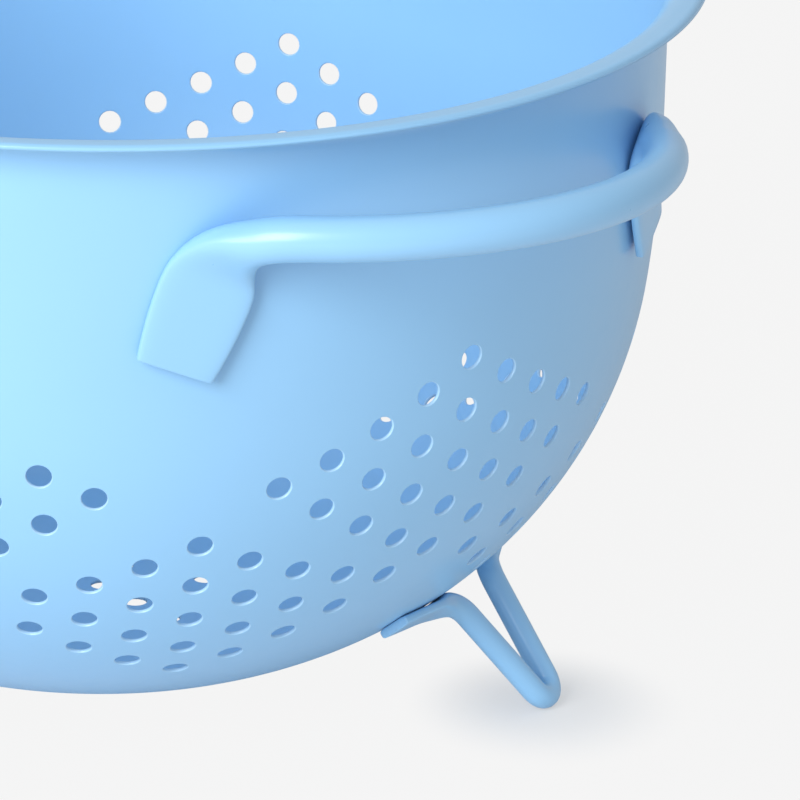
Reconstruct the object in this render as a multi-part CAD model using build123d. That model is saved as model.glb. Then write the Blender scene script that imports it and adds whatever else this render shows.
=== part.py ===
"""Colander: a perforated bowl with two bent-rod handles and three bent-wire feet."""
import os
from math import cos, pi, radians, sin

from build123d import *

os.makedirs("parts", exist_ok=True)

# Driving dimensions, in mm and degrees
rim_diameter = 240.0
rim_height = 148.0
wall_diameter = 224.0
sheet = 0.9
rod_diameter = 8.5
wire_diameter = 5.0
hole_diameter = 4.9
hole_sides = 8
weld_gap = 0.05

# Bowl section, from the rim down
rim_bend = 4.5
rim_edge_fillet = 0.35
straight_wall = 29.2
wall_arc_radius = 288.5
wall_arc_end = 6.55
side_arc_radius = 92.2
side_arc_end = 64.0
base_arc_radius = 30.0
base_arc_end = 90.0

# Hole clusters: diamonds of columns side by side and rows down the wall
cluster_count = 6
diamond_reach = 4
upper_middle = 74.4
upper_column_pitch = 9.85
upper_row_step = 5.5
upper_corner_rise = 1.9
lower_cluster_turn = 31.6
lower_middle = 106.3
lower_column_pitch = 10.0
lower_row_step = 5.4
lower_corner_rise = 4.6
base_hole_pitch = 10.8
base_hole_rings = 2

# Handle: a bow, two bends and two flattened ends down the wall
bow_radius = 58.0
bow_reach = 134.5
bow_drop = 18.0
bow_tilt = 5.0
bow_half_angle = 48.0
bow_pull = 11.0
pad_pull = 7.0
handle_pad_width = 17.8
handle_pad_thickness = 2.2
handle_pad_length = 16.0
handle_pad_narrowing = 3.0
handle_neck_length = 17.0
handle_pad_top_angle = 28.8
handle_pad_top_drop = 31.0
handle_pad_end_angle = 32.0
handle_pad_end_drop = 47.5

# Foot: a V of wire, two bends and two flattened ends under the wall
foot_count = 3
foot_turn = 30.0
toe_reach = 96.7
toe_bend = 4.0
knee_distance = 131.0
knee_half_width = 10.0
knee_bend = 5.0
foot_pad_distance = 129.5
foot_pad_half_angle = 23.0
foot_pad_width = 9.0
foot_pad_thickness = 2.0
foot_pad_length = 12.0
foot_pad_narrowing = 1.5
foot_neck_length = 9.0

# Drawing of the rods
section_points = 16
rod_stops = 29
round_power = 2.0
flat_power = 4.5

wall_radius = wall_diameter / 2
rim_radius = rim_diameter / 2


# Bowl
def along(point, distance, angle):
    """The point at a distance from another, at an angle below the outward direction."""
    return point + Vector(cos(radians(angle)), 0, -sin(radians(angle))) * distance


def arc(center, radius, start, end):
    """An arc in the XZ plane between two angles below the outward direction."""
    return ThreePointArc(*[along(center, radius, angle) for angle in (start, (start + end) / 2, end)])


def bowl_line(outset=0.0):
    """Edges of the wall's outside from under the rim bend to the axis, moved out by outset."""
    top = Vector(wall_radius + outset, 0, rim_height - sheet - rim_bend)
    straight_end = Vector(top.X, 0, rim_height - straight_wall)
    wall_center = Vector(wall_radius - wall_arc_radius, 0, straight_end.Z)
    side_center = along(wall_center, wall_arc_radius - side_arc_radius, wall_arc_end)
    base_center = along(side_center, side_arc_radius - base_arc_radius, side_arc_end)

    straight = Line(top, straight_end)
    wall = arc(wall_center, wall_arc_radius + outset, 0, wall_arc_end)
    side = arc(side_center, side_arc_radius + outset, wall_arc_end, side_arc_end)
    base = arc(base_center, base_arc_radius + outset, side_arc_end, base_arc_end)
    flat = Line(base @ 1, (0, 0, (base @ 1).Z))
    return [straight, wall, side, base, flat]


def bowl_shell():
    """The pressed sheet: flat base, curved wall and a rim bent out to a flat flange."""
    outside, inside = bowl_line(), bowl_line(-sheet)
    bend_top = Vector(wall_radius + rim_bend, 0, rim_height)
    under_bend = ThreePointArc(*bend_points(rim_bend))
    over_bend = ThreePointArc(*bend_points(rim_bend + sheet))
    over_flange = Line(over_bend @ 1, (rim_radius, 0, rim_height))
    edge = Line(over_flange @ 1, (rim_radius, 0, rim_height - sheet))
    under_flange = Line(edge @ 1, under_bend @ 1)
    axis_line = Line(outside[-1] @ 1, inside[-1] @ 1)
    rim = [under_bend, over_bend, over_flange, edge, under_flange]
    shell = revolve(make_face([*outside, *inside, *rim, axis_line]), Axis.Z)
    outer_edges = [e for e in shell.edges().filter_by(GeomType.CIRCLE) if e.radius > bend_top.X + sheet]
    return fillet(outer_edges, rim_edge_fillet)


def bend_points(radius):
    """Three points of the rim bend, from the wall up and out to the flange."""
    center = Vector(wall_radius + rim_bend, 0, rim_height - sheet - rim_bend)
    return [along(center, radius, angle) for angle in (-180, -135, -90)]


def wall_plane(distance, angle, outset=0.0):
    """A plane on the wall, facing out, this far down the section and turned about Z."""
    below = distance - sheet - rim_bend
    edges = bowl_line()
    while below > edges[0].length:
        below -= edges.pop(0).length
    share = below / edges[0].length
    down = edges[0] % share
    facing = Vector(-down.Z, 0, down.X)
    place = edges[0] @ share + facing * outset
    return Plane(place.rotate(Axis.Z, angle), x_dir=down.rotate(Axis.Z, angle), z_dir=facing.rotate(Axis.Z, angle))


def punch():
    """The cutter for one drain hole, eight-sided to keep the many holes light."""
    return extrude(RegularPolygon(hole_diameter / 2, hole_sides), 2 * sheet, both=True)


def cluster_holes(turn, middle, column_pitch, row_step, corner_rise):
    """Cutters for one diamond of holes, its middle at this distance down the wall."""
    cutters = []
    for column in range(-diamond_reach, diamond_reach + 1):
        rows = diamond_reach - abs(column)
        for row in range(-rows, rows + 1, 2):
            distance = middle + row * row_step - corner_rise * (column / diamond_reach) ** 2
            radius = wall_plane(distance, 0).origin.X
            plane = wall_plane(distance, turn + degrees_round(column * column_pitch, radius))
            cutters.append(plane * punch())
    return cutters


def degrees_round(length, radius):
    """The angle that a length takes up round a circle."""
    return 180 * length / (pi * radius)


def base_holes():
    """Cutters for the hexagon of drain holes in the flat base."""
    height = bowl_line()[-1].position_at(0).Z
    cutters = []
    for ring in range(base_hole_rings + 1):
        for place in PolarLocations(0, 1) if ring == 0 else hexagon(ring * base_hole_pitch, ring):
            cutters.append(Pos(0, 0, height) * place * punch())
    return cutters


def hexagon(radius, steps):
    """Places on a hexagon's corners and, between them, at even steps along its sides."""
    corners = [Vector(radius, 0, 0).rotate(Axis.Z, 60 * k) for k in range(7)]
    sides = zip(corners, corners[1:])
    return [Location(a + (b - a) * (k / steps)) for a, b in sides for k in range(steps)]


def bowl():
    """The shell with its drain holes."""
    cutters = base_holes()
    for k in range(cluster_count):
        turn = 360 * k / cluster_count
        cutters += cluster_holes(turn, upper_middle, upper_column_pitch, upper_row_step, upper_corner_rise)
        cutters += cluster_holes(
            turn + lower_cluster_turn, lower_middle, lower_column_pitch, lower_row_step, lower_corner_rise)
    return bowl_shell() - cutters


def bowl_envelope():
    """The filled bowl, a weld gap larger, that the rods' flattened ends lie against."""
    line = bowl_line(weld_gap)
    lid = Line((0, 0, (line[0] @ 0).Z), line[0] @ 0)
    axis_line = Line(line[-1] @ 1, lid @ 0)
    return revolve(make_face([*line, lid, axis_line]), Axis.Z)


# Rods
def flattening(distance, diameter, pad):
    """Width, thickness and squareness of a rod this far from its flattened end."""
    share = min(max((distance - pad["length"]) / pad["neck"], 0), 1)
    roundness = share * share * (3 - 2 * share)
    taper = max(1 - distance / pad["length"], 0) ** 2
    width = pad["width"] + (diameter - pad["width"]) * roundness - pad["narrowing"] * taper
    thickness = pad["thickness"] + (diameter - pad["thickness"]) * roundness
    return width, thickness, flat_power + (round_power - flat_power) * roundness


def rod_section(plane, width, thickness, power):
    """A closed section, round or squared, with its width along the plane's X."""
    points = []
    for k in range(section_points):
        turn = 2 * pi * k / section_points
        across, out = cos(turn), sin(turn)
        x = width / 2 * abs(across) ** (2 / power) * (1 if across >= 0 else -1)
        y = thickness / 2 * abs(out) ** (2 / power) * (1 if out >= 0 else -1)
        points.append(plane.from_local_coords((x, y, 0)))
    return make_face(Polyline(*points, close=True))


def rod(path, diameter, pad, end_facing):
    """A rod lofted along a mirrored path, flat at both ends with the given facing there."""
    sections = []
    for end in (0, 1):
        facing = end_facing(path @ end)
        half = []
        for k in range(rod_stops // 2 + 1 - end):
            share = abs(end - k / (rod_stops - 1))
            tangent = path % share
            facing = (facing - tangent * facing.dot(tangent)).normalized()
            plane = Plane(path @ share, x_dir=facing.cross(tangent), z_dir=tangent)
            half.append(rod_section(plane, *flattening(k * path.length / (rod_stops - 1), diameter, pad)))
        sections += half if end == 0 else reversed(half)
    return loft(sections, ruled=True)


# Handles
handle_pad = {
    "width": handle_pad_width,
    "thickness": handle_pad_thickness,
    "length": handle_pad_length,
    "narrowing": handle_pad_narrowing,
    "neck": handle_neck_length,
}


def outward(point):
    """The direction straight out from the bowl's axis."""
    return Vector(point.X, point.Y, 0).normalized()


def handle_path():
    """The rod's middle line: up from one pad, round the bow and down to the other."""
    bow_center = Vector(bow_reach - bow_radius, 0, rim_height - bow_drop)
    bow_plane = Plane(bow_center, x_dir=(1, 0, 0), z_dir=(0, 0, 1)).rotated((0, bow_tilt, 0))
    bow = bow_plane * CenterArc((0, 0), bow_radius, -bow_half_angle, 2 * bow_half_angle)
    edges = [bow]
    for side in (-1, 1):
        end, top = [
            wall_spot(side * angle, drop)
            for angle, drop in (
                (handle_pad_end_angle, handle_pad_end_drop),
                (handle_pad_top_angle, handle_pad_top_drop))]
        rise = (top - end).normalized()
        bow_end = bow @ ((side + 1) / 2)
        run = (bow % ((side + 1) / 2)) * side
        bend = Bezier(top, top + rise * pad_pull, bow_end + run * bow_pull, bow_end)
        edges += [Line(end, top), bend]
    return Wire(edges)


def wall_spot(angle, drop):
    """The middle of a flattened handle end on the wall, this far below the rim."""
    radius = wall_radius + weld_gap + handle_pad_thickness / 2
    return Vector(radius, 0, rim_height - drop).rotate(Axis.Z, angle)


def handle():
    """The right handle, its flattened ends cut to lie on the wall."""
    return rod(handle_path(), rod_diameter, handle_pad, outward) - bowl_envelope()


# Feet
foot_pad = {
    "width": foot_pad_width,
    "thickness": foot_pad_thickness,
    "length": foot_pad_length,
    "narrowing": foot_pad_narrowing,
    "neck": foot_neck_length,
}


def foot_path():
    """The wire's middle line: along the wall, down to the toe, and back up."""
    knee_plane = wall_plane(knee_distance, 0, wire_diameter / 2 + weld_gap)
    knee = Vector(knee_plane.origin.X, knee_half_width, knee_plane.origin.Z)
    toe = Vector(toe_reach, 0, wire_diameter / 2)
    middle = Vector(knee.X, 0, knee.Z)
    down = (toe - middle).normalized()
    reach = (toe - middle).length
    apex = toe + down * toe_overrun(reach)
    pad_plane = wall_plane(foot_pad_distance, foot_pad_half_angle, foot_pad_thickness / 2 + weld_gap)
    end = pad_plane.origin
    points = [mirrored(end), mirrored(knee), apex, knee, end]
    return FilletPolyline(*points, radius=[knee_bend, toe_bend, knee_bend])


def toe_overrun(reach):
    """How far the legs' lines meet beyond the rounded toe."""
    slope = knee_half_width / reach
    for _ in range(8):
        half_sine = slope / (1 + slope * slope) ** 0.5
        overrun = toe_bend / half_sine - toe_bend
        slope = knee_half_width / (reach + overrun)
    return overrun


def mirrored(point):
    """The point on the other side of the XZ plane."""
    return Vector(point.X, -point.Y, point.Z)


def under_wall(point):
    """The direction out of the wall at the feet's pads."""
    radius = Vector(point.X, point.Y, 0)
    facing = wall_plane(foot_pad_distance, 0).z_dir
    return radius.normalized() * facing.X + Vector(0, 0, facing.Z)


def foot():
    """The foot at the bowl's right, its flattened ends cut to lie under the wall."""
    return rod(foot_path(), wire_diameter, foot_pad, under_wall) - bowl_envelope()


# Parts
def save(name, shape):
    """Writes one piece under its node name."""
    solids = shape.solids()
    print(name, len(solids), "solids", round(sum(s.volume for s in solids)), "mm3")
    export_step(solids[0] if len(solids) == 1 else Compound(solids), f"parts/{name}.step")


save("bowl", bowl())
right_handle = handle()
save("handle_right", right_handle)
save("handle_left", right_handle.rotate(Axis.Z, 180))
right_foot = foot()
for k, name in enumerate(("foot_right", "foot_left", "foot_front")):
    save(name, right_foot.rotate(Axis.Z, foot_turn + 360 * k / foot_count))
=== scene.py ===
"""Colander: a light blue coated bowl with two rod handles and three wire feet."""
from math import asin, atan2, cos, hypot, pi, radians, sin

import bmesh
import bpy
from mathutils import Matrix, Vector


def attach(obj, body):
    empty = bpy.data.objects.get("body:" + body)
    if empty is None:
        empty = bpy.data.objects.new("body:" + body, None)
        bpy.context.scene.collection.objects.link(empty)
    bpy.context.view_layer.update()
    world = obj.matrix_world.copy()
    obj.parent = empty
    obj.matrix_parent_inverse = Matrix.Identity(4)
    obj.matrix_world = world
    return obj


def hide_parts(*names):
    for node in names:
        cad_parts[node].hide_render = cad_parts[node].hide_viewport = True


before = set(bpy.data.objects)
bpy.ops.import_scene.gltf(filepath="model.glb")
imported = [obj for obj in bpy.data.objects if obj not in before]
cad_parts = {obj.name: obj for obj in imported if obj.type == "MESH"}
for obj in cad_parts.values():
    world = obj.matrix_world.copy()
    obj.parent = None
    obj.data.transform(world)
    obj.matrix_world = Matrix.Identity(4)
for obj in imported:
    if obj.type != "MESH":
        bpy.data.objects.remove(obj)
MM = 0.001

# Camera: a long lens above and beside the right handle, as in the photograph.
# It stands about a metre away and the bowl runs off the picture at the top left.
CAMERA_DISTANCE = 1.01743
CAMERA_HEIGHT_OVER_RIM = 0.30839
CAMERA_TURN = radians(51.64)
CAMERA_YAW = radians(3.42)
CAMERA_PITCH = radians(21.62)
CAMERA_ROLL = radians(1.3186)
CAMERA_LENS = 240.83
CAMERA_REACH = 100
RIM_HEIGHT = 148 * MM

camera_data = bpy.data.cameras.new("camera")
camera_data.lens = CAMERA_LENS
camera_data.clip_end = CAMERA_REACH
camera = bpy.data.objects.new("camera", camera_data)
bpy.context.collection.objects.link(camera)
camera.location = (CAMERA_DISTANCE * sin(CAMERA_TURN), -CAMERA_DISTANCE * cos(CAMERA_TURN),
                   RIM_HEIGHT + CAMERA_HEIGHT_OVER_RIM)
heading = Matrix.Rotation(CAMERA_TURN - CAMERA_YAW, 3, "Z")
tilt = Matrix.Rotation(pi / 2 - CAMERA_PITCH, 3, "X")
camera.rotation_euler = (heading @ tilt @ Matrix.Rotation(CAMERA_ROLL, 3, "Z")).to_euler()
bpy.context.scene.camera = camera

# Coating: a smooth powder coat, baked on over the whole welded colander.
# It has a faint orange peel, a slight change of tone, and a thinner, paler skin on holes' lips.
COAT_BLUE = (0.295, 0.58, 0.88, 1)
THIN_COAT_BLUE = (0.58, 0.80, 0.98, 1)
THIN_COAT_SHARE = 0.4
PEEL_SIZE, PEEL_DEPTH = 1.6 * MM, 0.010 * MM
CLOUD_SIZE, CLOUD_SPREAD = 45 * MM, 0.035
GRAIN_SIZE, GRAIN_SPREAD = 3.2 * MM, 0.05
GLOSS_WEIGHT, GLOSS_ROUGHNESS = 0.2, 0.18


def coat_group():
    """A node group that puts out the coat's tone, roughness and surface normal."""
    group = bpy.data.node_groups.new("powder_coat_effects", "ShaderNodeTree")
    for name, kind in (("Tone", "NodeSocketColor"), ("Roughness", "NodeSocketFloat"),
                       ("Edge", "NodeSocketFloat")):
        group.interface.new_socket(name, in_out="INPUT", socket_type=kind)
    for name, kind in (("Color", "NodeSocketColor"), ("Roughness", "NodeSocketFloat"),
                       ("Normal", "NodeSocketVector")):
        group.interface.new_socket(name, in_out="OUTPUT", socket_type=kind)
    nodes, links = group.nodes, group.links
    inputs, outputs = nodes.new("NodeGroupInput"), nodes.new("NodeGroupOutput")
    place = nodes.new("ShaderNodeTexCoord")

    cloud = nodes.new("ShaderNodeTexNoise")
    cloud.inputs["Scale"].default_value = 1 / CLOUD_SIZE
    cloud.inputs["Detail"].default_value = 3
    cloud_tone = nodes.new("ShaderNodeMapRange")
    cloud_tone.inputs["To Min"].default_value = 1 - CLOUD_SPREAD
    cloud_tone.inputs["To Max"].default_value = 1 + CLOUD_SPREAD
    toned = nodes.new("ShaderNodeVectorMath")
    toned.operation = "SCALE"
    links.new(place.outputs["Object"], cloud.inputs["Vector"])
    links.new(cloud.outputs["Fac"], cloud_tone.inputs["Value"])
    links.new(inputs.outputs["Tone"], toned.inputs[0])
    links.new(cloud_tone.outputs["Result"], toned.inputs["Scale"])

    paler = nodes.new("ShaderNodeMix")
    paler.data_type = "RGBA"
    paler.inputs["B"].default_value = THIN_COAT_BLUE
    thinned = nodes.new("ShaderNodeMath")
    thinned.operation = "MULTIPLY"
    thinned.inputs[1].default_value = THIN_COAT_SHARE
    links.new(inputs.outputs["Edge"], thinned.inputs[0])
    links.new(thinned.outputs["Value"], paler.inputs["Factor"])
    links.new(toned.outputs["Vector"], paler.inputs["A"])
    links.new(paler.outputs["Result"], outputs.inputs["Color"])

    grain = nodes.new("ShaderNodeTexNoise")
    grain.inputs["Scale"].default_value = 1 / GRAIN_SIZE
    grain.inputs["Detail"].default_value = 2
    spread = nodes.new("ShaderNodeMapRange")
    spread.inputs["To Min"].default_value = -GRAIN_SPREAD
    spread.inputs["To Max"].default_value = GRAIN_SPREAD
    rough = nodes.new("ShaderNodeMath")
    links.new(place.outputs["Object"], grain.inputs["Vector"])
    links.new(grain.outputs["Fac"], spread.inputs["Value"])
    links.new(inputs.outputs["Roughness"], rough.inputs[0])
    links.new(spread.outputs["Result"], rough.inputs[1])
    links.new(rough.outputs["Value"], outputs.inputs["Roughness"])

    peel = nodes.new("ShaderNodeTexNoise")
    peel.inputs["Scale"].default_value = 1 / PEEL_SIZE
    peel.inputs["Detail"].default_value = 1
    bump = nodes.new("ShaderNodeBump")
    bump.inputs["Distance"].default_value = PEEL_DEPTH
    links.new(place.outputs["Object"], peel.inputs["Vector"])
    links.new(peel.outputs["Fac"], bump.inputs["Height"])
    links.new(bump.outputs["Normal"], outputs.inputs["Normal"])
    return group


coat_effects = coat_group()


def coated(name, tone, roughness):
    """The powder coat in one tone, satin with a soft sheen on top."""
    material = bpy.data.materials.new(name)
    material.use_nodes = True
    nodes, links = material.node_tree.nodes, material.node_tree.links
    shader = nodes["Principled BSDF"]
    effects = nodes.new("ShaderNodeGroup")
    effects.node_tree = coat_effects
    effects.inputs["Tone"].default_value = tone
    effects.inputs["Roughness"].default_value = roughness
    thin = nodes.new("ShaderNodeAttribute")
    thin.attribute_name = "thin_coat"
    links.new(thin.outputs["Fac"], effects.inputs["Edge"])
    shader.inputs["Coat Weight"].default_value = GLOSS_WEIGHT
    shader.inputs["Coat Roughness"].default_value = GLOSS_ROUGHNESS
    links.new(effects.outputs["Color"], shader.inputs["Base Color"])
    links.new(effects.outputs["Roughness"], shader.inputs["Roughness"])
    links.new(effects.outputs["Normal"], shader.inputs["Normal"])
    return material


# Bowl: one sheet of steel pressed to a deep round shape, its rim bent out flat.
# Its section is a straight wall, three arcs that run smoothly into each other, and a flat base.
WALL_RADIUS = 112 * MM
RIM_RADIUS = 120 * MM
SHEET = 0.9 * MM
RIM_BEND = 4.5 * MM
STRAIGHT_WALL = 29.2 * MM
WALL_ARC, WALL_ARC_END = 288.5 * MM, radians(6.55)
SIDE_ARC, SIDE_ARC_END = 92.2 * MM, radians(64)
BASE_ARC, BASE_ARC_END = 30 * MM, radians(90)
BOWL_SEGMENTS = 224
BASE_ARC_STEPS, SIDE_ARC_STEPS, WALL_ARC_STEPS, RIM_BEND_STEPS = 8, 36, 8, 7
FLAT_BASE_STEPS, STRAIGHT_WALL_STEPS, RIM_STEPS = 6, 6, 2
SAME_POINT = 0.01 * MM
SHEET_ROUGHNESS = 0.33

coat_sheet = coated("coated_sheet", COAT_BLUE, SHEET_ROUGHNESS)


def along(point, distance, angle):
    """The point at a distance from another, at an angle below the outward direction."""
    return (point[0] + distance * cos(angle), point[1] - distance * sin(angle))


WALL_CENTER = (WALL_RADIUS - WALL_ARC, RIM_HEIGHT - STRAIGHT_WALL)
SIDE_CENTER = along(WALL_CENTER, WALL_ARC - SIDE_ARC, WALL_ARC_END)
BASE_CENTER = along(SIDE_CENTER, SIDE_ARC - BASE_ARC, SIDE_ARC_END)
BEND_CENTER = (WALL_RADIUS + RIM_BEND, RIM_HEIGHT - SHEET - RIM_BEND)
BASE_HEIGHT = BASE_CENTER[1] - BASE_ARC


def arc(center, radius, start, end, steps):
    """Points along an arc, without its last."""
    return [along(center, radius, start + (end - start) * k / steps) for k in range(steps)]


def wall_outline():
    """The section of the sheet's outside as (radius, height), from the axis to the rim's edge."""
    base = arc(BASE_CENTER, BASE_ARC, BASE_ARC_END, SIDE_ARC_END, BASE_ARC_STEPS)
    side = arc(SIDE_CENTER, SIDE_ARC, SIDE_ARC_END, WALL_ARC_END, SIDE_ARC_STEPS)
    wall = arc(WALL_CENTER, WALL_ARC, WALL_ARC_END, 0, WALL_ARC_STEPS)
    wall_rise = BEND_CENTER[1] - WALL_CENTER[1]
    straight = [(WALL_RADIUS, WALL_CENTER[1] + wall_rise * k / STRAIGHT_WALL_STEPS)
                for k in range(STRAIGHT_WALL_STEPS)]
    bend = arc(BEND_CENTER, RIM_BEND, -pi, -pi / 2, RIM_BEND_STEPS)
    rim_width = RIM_RADIUS - BEND_CENTER[0]
    flange = [(BEND_CENTER[0] + rim_width * k / RIM_STEPS, RIM_HEIGHT - SHEET)
              for k in range(RIM_STEPS + 1)]
    flat = [(base[0][0] * k / FLAT_BASE_STEPS, BASE_HEIGHT) for k in range(FLAT_BASE_STEPS)]
    return flat + base + side + wall + straight + bend + flange


def spun(name, outline, segments):
    """A surface spun about Z from one point that is pulled along an outline."""
    bpy.ops.object.select_all(action="DESELECT")
    bpy.ops.mesh.primitive_plane_add(size=MM, location=(0, 0, 0))
    piece = bpy.context.object
    piece.name = piece.data.name = name
    bpy.ops.object.mode_set(mode="EDIT")
    bpy.ops.mesh.merge(type="CENTER")
    here = (0, 0)
    for k, there in enumerate(outline):
        step = (there[0] - here[0], 0, there[1] - here[1])
        if k == 0:
            bpy.ops.transform.translate(value=step)
        else:
            bpy.ops.mesh.extrude_vertices_move(TRANSFORM_OT_translate={"value": step})
        here = there
    bpy.ops.mesh.select_all(action="SELECT")
    bpy.ops.mesh.spin(steps=segments, angle=2 * pi, center=(0, 0, 0), axis=(0, 0, 1))
    bpy.ops.mesh.select_all(action="SELECT")
    bpy.ops.mesh.remove_doubles(threshold=SAME_POINT)
    bpy.ops.mesh.normals_make_consistent(inside=False)
    faces = bmesh.from_edit_mesh(piece.data).faces
    lowest = min(faces, key=lambda face: face.calc_center_median().z)
    if lowest.normal.z > 0:
        bpy.ops.mesh.flip_normals()
    bpy.ops.object.mode_set(mode="OBJECT")
    return piece


def apply(piece, kind, **settings):
    """Adds one modifier and applies it."""
    bpy.context.view_layer.objects.active = piece
    modifier = piece.modifiers.new(kind.lower(), kind)
    for name, value in settings.items():
        setattr(modifier, name, value)
    bpy.ops.object.modifier_apply(modifier=modifier.name)


bowl = spun("bowl_shell", wall_outline(), BOWL_SEGMENTS)
apply(bowl, "SOLIDIFY", thickness=SHEET, offset=-1, use_even_offset=True)

# Drain holes: punched square to the sheet, with soft lips where the coat rounds both edges.
# Six diamonds lie in an upper ring, six in a lower ring between them, and a hexagon in the base.
HOLE_RADIUS = 2.4 * MM
HOLE_LIP, LIP_SWING, LIP_STEPS = 0.38 * MM, radians(72), 3
HOLE_SEGMENTS = 20
PUNCH_SPREAD, PUNCH_OVERRUN = 0.25 * MM, 0.12 * MM
DIAMOND_REACH = 4
CLUSTERS = 6
UPPER = {"turn": 0, "middle": 74.4 * MM, "column": 9.85 * MM, "row": 5.5 * MM, "rise": 1.9 * MM}
LOWER = {"turn": radians(31.6), "middle": 106.3 * MM, "column": 10 * MM, "row": 5.4 * MM,
         "rise": 4.6 * MM}
BASE_PITCH, HEXAGON_REACH = 10.8 * MM, 2
FACE_TOLERANCE = 0.06 * MM


def wall_place(distance):
    """Radius, height and outward slope of the wall, this far down from the top of the rim."""
    if distance < STRAIGHT_WALL:
        return WALL_RADIUS, RIM_HEIGHT - distance, 0
    angle = (distance - STRAIGHT_WALL) / WALL_ARC
    if angle < WALL_ARC_END:
        return *along(WALL_CENTER, WALL_ARC, angle), angle
    angle = WALL_ARC_END + (angle - WALL_ARC_END) * WALL_ARC / SIDE_ARC
    return *along(SIDE_CENTER, SIDE_ARC, angle), angle


def hole_cutter():
    """A punch for one hole, narrow at the sheet's middle and flared to both faces."""
    profile = []
    for side in (-1, 1):
        flare = []
        for k in range(LIP_STEPS + 1):
            swing = LIP_SWING * k / LIP_STEPS
            flare.append((HOLE_RADIUS + HOLE_LIP * (1 - cos(swing)),
                          side * (SHEET / 2 - HOLE_LIP + HOLE_LIP * sin(swing))))
        punch_end = side * (SHEET / 2 + PUNCH_OVERRUN)
        flare += [(flare[-1][0] + PUNCH_SPREAD, punch_end), (0, punch_end)]
        profile = flare[::-1] + profile if side < 0 else profile + flare
    return spun("hole_punch", profile, HOLE_SEGMENTS)


def hole_places():
    """A matrix for every hole, at the middle of the sheet and facing out."""
    places = []
    for ring in (UPPER, LOWER):
        for cluster in range(CLUSTERS):
            for column in range(-DIAMOND_REACH, DIAMOND_REACH + 1):
                rows = DIAMOND_REACH - abs(column)
                for row in range(-rows, rows + 1, 2):
                    rise = ring["rise"] * (column / DIAMOND_REACH) ** 2
                    radius, height, slope = wall_place(ring["middle"] + row * ring["row"] - rise)
                    turn = ring["turn"] + 2 * pi * cluster / CLUSTERS
                    turn += column * ring["column"] / radius
                    face = Matrix.Rotation(turn, 4, "Z") @ Matrix.Translation((radius, 0, height))
                    places.append(face @ Matrix.Rotation(pi / 2 + slope, 4, "Y")
                                  @ Matrix.Translation((0, 0, -SHEET / 2)))
    base_middle = BASE_HEIGHT + SHEET / 2
    for a in range(-HEXAGON_REACH, HEXAGON_REACH + 1):
        for b in range(-HEXAGON_REACH, HEXAGON_REACH + 1):
            if abs(a + b) <= HEXAGON_REACH:
                places.append(Matrix.Translation(
                    (BASE_PITCH * (a + b / 2), BASE_PITCH * b * sin(pi / 3), base_middle)))
    return places


def punched(shell):
    """Cuts every hole from the shell at once."""
    punch = hole_cutter()
    punches = []
    for place in hole_places():
        copy = bpy.data.objects.new("punch", punch.data.copy())
        copy.data.transform(place)
        bpy.context.collection.objects.link(copy)
        punches.append(copy)
    bpy.ops.object.select_all(action="DESELECT")
    for copy in punches:
        copy.select_set(True)
    bpy.context.view_layer.objects.active = punches[0]
    bpy.ops.object.join()
    apply(shell, "BOOLEAN", operation="DIFFERENCE", solver="EXACT", object=punches[0])
    bpy.data.objects.remove(punches[0])
    bpy.data.objects.remove(punch)


punched(bowl)


def sheet_normal(point):
    """The smooth shell's outward normal at a point on either face of the sheet, or None off both."""
    radius, height = hypot(point.x, point.y), point.z
    if height > BEND_CENTER[1]:
        return None
    if height > WALL_CENTER[1]:
        offset, slope = radius - WALL_RADIUS, 0
    else:
        slope = atan2(WALL_CENTER[1] - height, radius - WALL_CENTER[0])
        offset = hypot(radius - WALL_CENTER[0], height - WALL_CENTER[1]) - WALL_ARC
        if slope > WALL_ARC_END:
            slope = atan2(SIDE_CENTER[1] - height, radius - SIDE_CENTER[0])
            offset = hypot(radius - SIDE_CENTER[0], height - SIDE_CENTER[1]) - SIDE_ARC
        if slope > SIDE_ARC_END:
            slope = atan2(BASE_CENTER[1] - height, radius - BASE_CENTER[0])
            offset = hypot(radius - BASE_CENTER[0], height - BASE_CENTER[1]) - BASE_ARC
        if slope > BASE_ARC_END or radius < BASE_CENTER[0]:
            slope, offset = pi / 2, BASE_HEIGHT - height
    level = cos(slope) / max(radius, MM)
    out = Vector((level * point.x, level * point.y, -sin(slope)))
    if abs(offset) < FACE_TOLERANCE:
        return out
    if abs(offset + SHEET) < FACE_TOLERANCE:
        return -out
    return None


def smooth_sheet(shell):
    """Shades the shell smooth, with the unpunched sheet's own normals up to each hole's lip."""
    shell.data.shade_smooth()
    own = [vertex.normal.copy() for vertex in shell.data.vertices]
    sheet = [sheet_normal(vertex.co) for vertex in shell.data.vertices]
    shell.data.normals_split_custom_set_from_vertices(
        [flat or lip for flat, lip in zip(sheet, own)])
    thin = shell.data.attributes.new("thin_coat", "FLOAT", "POINT")
    for k, vertex in enumerate(shell.data.vertices):
        thin.data[k].value = 1.0 if sheet[k] is None and vertex.co.z < BEND_CENTER[1] else 0.0


smooth_sheet(bowl)
bowl.data.materials.clear()
bowl.data.materials.append(coat_sheet)
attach(bowl, "root")
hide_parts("bowl")

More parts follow.
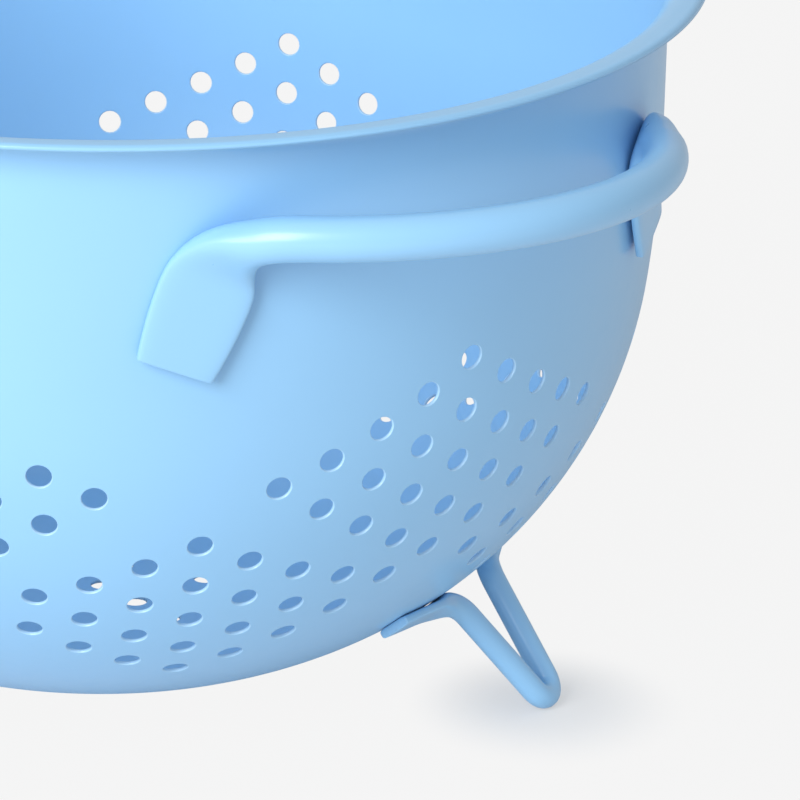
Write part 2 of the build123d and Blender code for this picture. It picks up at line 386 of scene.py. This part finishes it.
# Handles: a steel rod bent to a bow, its ends hammered flat and turned down the wall.
# The flat ends are spot-welded on, and the coat covers the welds.
ROD = 8.5 * MM
BOW_RADIUS, BOW_REACH, BOW_DROP = 60 * MM, 135.2 * MM, 17.6 * MM
BOW_RISE, BOW_LEAN, BOW_HALF_ANGLE = radians(5), radians(2), radians(48)
BOW_PULL, PAD_PULL = 11 * MM, 7 * MM
PAD_TOP_ANGLE, PAD_TOP_DROP = radians(28.6), 28.7 * MM
PAD_END_ANGLE, PAD_END_DROP = radians(31.8), 45.4 * MM
HANDLE_PAD = {"width": 17.8 * MM, "thickness": 2.2 * MM, "length": 16 * MM, "narrowing": 3 * MM,
              "neck": 17 * MM}
WELD_GAP = 0.05 * MM
BOW_STEPS, BEND_STEPS, PAD_STEPS = 32, 14, 7
SECTION_POINTS = 32
FLAT_POWER, ROUND_POWER = 4.5, 2
EDGE_ROUNDING, EDGE_ROUNDING_STEPS, EDGE_ANGLE = 0.35 * MM, 3, radians(60)
SMOOTH_ANGLE = radians(50)
ROD_ROUGHNESS = 0.30

coat_rod = coated("coated_rod", COAT_BLUE, ROD_ROUGHNESS)


def bezier(a, b, c, d, steps):
    """Points along a smooth bend between two places, each with its own pull."""
    points = []
    for k in range(1, steps):
        t = k / steps
        points.append(a * (1 - t) ** 3 + b * 3 * t * (1 - t) ** 2
                      + c * 3 * t * t * (1 - t) + d * t ** 3)
    return points


def straight_run(a, b, steps):
    """Points from one place to another, both ends included."""
    return [a.lerp(b, k / steps) for k in range(steps + 1)]


def handle_line():
    """The rod's middle line, from one pad's end to the other's."""
    swings = [BOW_HALF_ANGLE * (2 * k / BOW_STEPS - 1) for k in range(BOW_STEPS + 1)]
    center_drop = BOW_DROP + BOW_RADIUS * sin(BOW_RISE)
    center = Vector((BOW_REACH - BOW_RADIUS, 0, RIM_HEIGHT - center_drop))
    bow = [center + BOW_RADIUS * Vector((cos(a) * cos(BOW_RISE), sin(a),
                                         cos(a) * sin(BOW_RISE) - sin(a) * sin(BOW_LEAN)))
           for a in swings]
    radius = WALL_RADIUS + WELD_GAP + HANDLE_PAD["thickness"] / 2

    def wall_spot(angle, drop):
        return Vector((radius * cos(angle), radius * sin(angle), RIM_HEIGHT - drop))

    halves = []
    for side in (-1, 1):
        end = wall_spot(side * PAD_END_ANGLE, PAD_END_DROP)
        top = wall_spot(side * PAD_TOP_ANGLE, PAD_TOP_DROP)
        near, next_in = (bow[0], bow[1]) if side < 0 else (bow[-1], bow[-2])
        bend = bezier(top, top + (top - end).normalized() * PAD_PULL,
                      near + (near - next_in).normalized() * BOW_PULL, near, BEND_STEPS)
        halves.append(straight_run(end, top, PAD_STEPS) + bend)
    return halves[0] + bow + halves[1][::-1]


def outward(point):
    """The direction straight out from the bowl's axis."""
    return Vector((point.x, point.y, 0)).normalized()


def flattening(distance, diameter, pad):
    """Width, thickness and squareness of a rod this far from its flattened end."""
    share = min(max((distance - pad["length"]) / pad["neck"], 0), 1)
    roundness = share * share * (3 - 2 * share)
    taper = max(1 - distance / pad["length"], 0) ** 2
    width = pad["width"] + (diameter - pad["width"]) * roundness - pad["narrowing"] * taper
    thickness = pad["thickness"] + (diameter - pad["thickness"]) * roundness
    return width, thickness, FLAT_POWER + (ROUND_POWER - FLAT_POWER) * roundness


def tangents(line):
    """The direction of a line of points at each of them."""
    ends = [line[0]] + list(line) + [line[-1]]
    return [(after - before).normalized() for before, after in zip(ends, ends[2:])]


def facings(line, ways, facing):
    """A direction square to the line at each point, carried along it from the start."""
    carried = []
    for way in ways:
        facing = (facing - way * facing.dot(way)).normalized()
        carried.append(facing)
    return carried


def wall_push(point):
    """Moves a point that is inside the wall straight out to a weld gap over it."""
    radius, height = hypot(point.x, point.y), point.z
    center, reach = (WALL_RADIUS - WALL_ARC, height), WALL_ARC
    if height < WALL_CENTER[1]:
        center = WALL_CENTER
        if atan2(WALL_CENTER[1] - height, radius - WALL_CENTER[0]) > WALL_ARC_END:
            center, reach = SIDE_CENTER, SIDE_ARC
    away = hypot(radius - center[0], height - center[1])
    if away > reach + WELD_GAP:
        return point
    grow = (reach + WELD_GAP) / away
    new_radius = center[0] + (radius - center[0]) * grow
    return Vector((point.x * new_radius / radius, point.y * new_radius / radius,
                   center[1] + (height - center[1]) * grow))


def bent_rod(name, line, diameter, pad, end_facing):
    """A rod pulled ring by ring along its line, flattened at both ends and laid on the wall."""
    ways = tangents(line)
    middle = len(line) // 2
    faces = facings(line, ways, end_facing(line[0]))[:middle]
    faces += facings(line[::-1], ways[::-1], end_facing(line[-1]))[:len(line) - middle][::-1]
    runs = [0]
    for a, b in zip(line, line[1:]):
        runs.append(runs[-1] + (b - a).length)

    bpy.ops.object.select_all(action="DESELECT")
    bpy.ops.mesh.primitive_circle_add(vertices=SECTION_POINTS, radius=diameter / 2, fill_type="NGON")
    piece = bpy.context.object
    piece.name = piece.data.name = name
    bpy.ops.object.mode_set(mode="EDIT")
    for k, point in enumerate(line):
        if k:
            bpy.ops.mesh.extrude_region_move()
        width, thickness, power = flattening(min(runs[k], runs[-1] - runs[k]), diameter, pad)
        side = faces[k].cross(ways[k])
        mesh = bmesh.from_edit_mesh(piece.data)
        ring = sorted((v for v in mesh.verts if v.select), key=lambda v: v.index)
        for n, vertex in enumerate(ring):
            across, out = cos(2 * pi * n / SECTION_POINTS), sin(2 * pi * n / SECTION_POINTS)
            x = width / 2 * abs(across) ** (2 / power) * (1 if across >= 0 else -1)
            y = thickness / 2 * abs(out) ** (2 / power) * (1 if out >= 0 else -1)
            vertex.co = wall_push(point + side * x + faces[k] * y)
        bmesh.update_edit_mesh(piece.data)
    bpy.ops.mesh.select_all(action="SELECT")
    bpy.ops.mesh.normals_make_consistent(inside=False)
    bpy.ops.object.mode_set(mode="OBJECT")
    apply(piece, "BEVEL", width=EDGE_ROUNDING, segments=EDGE_ROUNDING_STEPS,
          limit_method="ANGLE", angle_limit=EDGE_ANGLE)
    bpy.ops.object.select_all(action="DESELECT")
    piece.select_set(True)
    bpy.context.view_layer.objects.active = piece
    bpy.ops.object.shade_smooth_by_angle(angle=SMOOTH_ANGLE)
    return piece


def turned_copy(piece, name, turn):
    """A copy with its own mesh, turned about the bowl's axis."""
    copy = bpy.data.objects.new(name, piece.data.copy())
    copy.data.name = name
    copy.data.transform(Matrix.Rotation(turn, 4, "Z"))
    bpy.context.collection.objects.link(copy)
    return copy


right_handle = bent_rod("right_handle_rod", handle_line(), ROD, HANDLE_PAD, outward)
right_handle.data.materials.append(coat_rod)
left_handle = turned_copy(right_handle, "left_handle_rod", pi)
for piece, node in ((right_handle, "handle_right"), (left_handle, "handle_left")):
    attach(piece, "root")
    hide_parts(node)

# Feet: steel wire bent to a V, its ends hammered flat and turned along the wall.
# They are spot-welded under the bowl and splay outwards to the table.
WIRE = 5 * MM
FOOT_TURN, FEET = radians(30), ("foot_right", "foot_left", "foot_front")
TOE_REACH, TOE_BEND = 96.7 * MM, 4 * MM
KNEE_DISTANCE, KNEE_HALF_WIDTH, KNEE_BEND = 131 * MM, 10 * MM, 7 * MM
FOOT_PAD_DISTANCE, FOOT_PAD_HALF_ANGLE = 129.5 * MM, radians(23)
FOOT_PAD = {"width": 9 * MM, "thickness": 2 * MM, "length": 12 * MM, "narrowing": 1.5 * MM,
            "neck": 9 * MM}
FOOT_BEND_STEPS, FOOT_RUN_STEPS, OVERRUN_ROUNDS = 12, 8, 8
WIRE_ROUGHNESS = 0.30

coat_wire = coated("coated_wire", COAT_BLUE, WIRE_ROUGHNESS)


def off_wall(distance, angle, outset):
    """A place off the wall's outside, this far down it and round it."""
    radius, height, slope = wall_place(distance)
    radius += outset * cos(slope)
    return Vector((radius * cos(angle), radius * sin(angle), height - outset * sin(slope)))


def rounded(corners, bends):
    """Points along straight runs whose corners are bent round to the given radii."""
    points = [corners[0]]
    for before, corner, after, bend in zip(corners, corners[1:], corners[2:], bends):
        way_in, way_out = (corner - before).normalized(), (after - corner).normalized()
        turn = way_in.angle(way_out)
        cut = bend * sin(turn / 2) / cos(turn / 2)
        center = corner + (way_out - way_in).normalized() * bend / cos(turn / 2)
        start, axis = corner - way_in * cut - center, way_in.cross(way_out).normalized()
        points += straight_run(points[-1], center + start, FOOT_RUN_STEPS)[1:-1]
        points += [center + Matrix.Rotation(turn * k / FOOT_BEND_STEPS, 3, axis) @ start
                   for k in range(FOOT_BEND_STEPS + 1)]
    return points + straight_run(points[-1], corners[-1], FOOT_RUN_STEPS)[1:]


def foot_line():
    """The wire's middle line, from one pad's end down to the toe and back up to the other.

    The two sides would meet a little past the toe, so that its bend just reaches the table.
    """
    reach = off_wall(KNEE_DISTANCE, 0, WIRE / 2 + WELD_GAP).x
    knee = off_wall(KNEE_DISTANCE, asin(KNEE_HALF_WIDTH / reach), WIRE / 2 + WELD_GAP)
    knee_middle = Vector((knee.x, 0, knee.z))
    toe = Vector((TOE_REACH, 0, WIRE / 2))
    down = (toe - knee_middle).normalized()
    overrun = 0
    for _ in range(OVERRUN_ROUNDS):
        slope = KNEE_HALF_WIDTH / ((toe - knee_middle).length + overrun)
        overrun = TOE_BEND * hypot(slope, 1) / slope - TOE_BEND
    end = off_wall(FOOT_PAD_DISTANCE, FOOT_PAD_HALF_ANGLE, FOOT_PAD["thickness"] / 2 + WELD_GAP)
    other = [Vector((p.x, -p.y, p.z)) for p in (end, knee)]
    return rounded([*other, toe + down * overrun, knee, end], (KNEE_BEND, TOE_BEND, KNEE_BEND))


def under_wall(point):
    """The direction out of the wall at the feet's pads."""
    slope = wall_place(FOOT_PAD_DISTANCE)[2]
    return outward(point) * cos(slope) - Vector((0, 0, sin(slope)))


first_foot = bent_rod("foot_wire", foot_line(), WIRE, FOOT_PAD, under_wall)
first_foot.data.materials.append(coat_wire)
for k, node in enumerate(FEET):
    piece = turned_copy(first_foot, node + "_wire", FOOT_TURN + 2 * pi * k / len(FEET))
    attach(piece, "root")
    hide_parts(node)
bpy.data.objects.remove(first_foot)

# Studio: a wide pale floor that shows its shade only round the feet's toes, as in the photograph.
# A broad soft lamp stands to the left of the camera, and the world fills the rest evenly.
FLOOR_GREY, FLOOR_ROUGHNESS = (0.80, 0.80, 0.80, 1), 0.9
BACKDROP_GREY = (0.913, 0.913, 0.913, 1)
FLOOR_SIZE = 30
NEAR_TOE, CLEAR_OF_TOE = 6 * MM, 30 * MM
BACKDROP_NEAR_TOE, BACKDROP_CLEAR_OF_TOE = 0.5, 0.99
WORLD_STRENGTH = 0.57
LAMP_PLACE, LAMP_SIZE, LAMP_POWER = Vector((0.45, -1.65, 1.0)), 1.1, 34
BOWL_MIDDLE = Vector((0, 0, 0.08))

bpy.ops.object.select_all(action="DESELECT")
bpy.ops.mesh.primitive_plane_add(size=FLOOR_SIZE, location=(0, 0, 0))
floor = bpy.context.object
floor.name = "studio_floor"
floor_material = bpy.data.materials.new("studio_floor")
floor_material.use_nodes = True
nodes, links = floor_material.node_tree.nodes, floor_material.node_tree.links
nodes["Principled BSDF"].inputs["Base Color"].default_value = FLOOR_GREY
nodes["Principled BSDF"].inputs["Roughness"].default_value = FLOOR_ROUGHNESS
seen = nodes.new("ShaderNodeLightPath")
backdrop = nodes.new("ShaderNodeEmission")
backdrop.inputs["Color"].default_value = BACKDROP_GREY
shade = nodes.new("ShaderNodeMixShader")
place = nodes.new("ShaderNodeTexCoord")
nearest = nodes.new("ShaderNodeValue").outputs[0]
nearest.default_value = FLOOR_SIZE
for k in range(len(FEET)):
    turn = FOOT_TURN + 2 * pi * k / len(FEET)
    away = nodes.new("ShaderNodeVectorMath")
    away.operation = "DISTANCE"
    away.inputs[1].default_value = (TOE_REACH * cos(turn), TOE_REACH * sin(turn), 0)
    nearer = nodes.new("ShaderNodeMath")
    nearer.operation = "MINIMUM"
    links.new(place.outputs["Object"], away.inputs[0])
    links.new(nearest, nearer.inputs[0])
    links.new(away.outputs["Value"], nearer.inputs[1])
    nearest = nearer.outputs[0]
clear = nodes.new("ShaderNodeMapRange")
clear.interpolation_type = "SMOOTHSTEP"
clear.inputs["From Min"].default_value = NEAR_TOE
clear.inputs["From Max"].default_value = CLEAR_OF_TOE
clear.inputs["To Min"].default_value = BACKDROP_NEAR_TOE
clear.inputs["To Max"].default_value = BACKDROP_CLEAR_OF_TOE
share = nodes.new("ShaderNodeMath")
share.operation = "MULTIPLY"
links.new(nearest, clear.inputs["Value"])
links.new(clear.outputs["Result"], share.inputs[1])
links.new(seen.outputs["Is Camera Ray"], share.inputs[0])
links.new(share.outputs["Value"], shade.inputs["Fac"])
links.new(nodes["Principled BSDF"].outputs["BSDF"], shade.inputs[1])
links.new(backdrop.outputs["Emission"], shade.inputs[2])
links.new(shade.outputs["Shader"], nodes["Material Output"].inputs["Surface"])
floor.data.materials.append(floor_material)

world = bpy.data.worlds.new("studio")
world.use_nodes = True
sky = world.node_tree.nodes["Background"]
sky.inputs["Color"].default_value = (1, 1, 1, 1)
sky.inputs["Strength"].default_value = WORLD_STRENGTH
bpy.context.scene.world = world

lamp_data = bpy.data.lights.new("left_softbox", "AREA")
lamp_data.size, lamp_data.energy = LAMP_SIZE, LAMP_POWER
lamp = bpy.data.objects.new("left_softbox", lamp_data)
bpy.context.collection.objects.link(lamp)
lamp.location = LAMP_PLACE
lamp.rotation_euler = (BOWL_MIDDLE - LAMP_PLACE).to_track_quat("-Z", "Y").to_euler()

bpy.context.scene.view_settings.view_transform = "Standard"
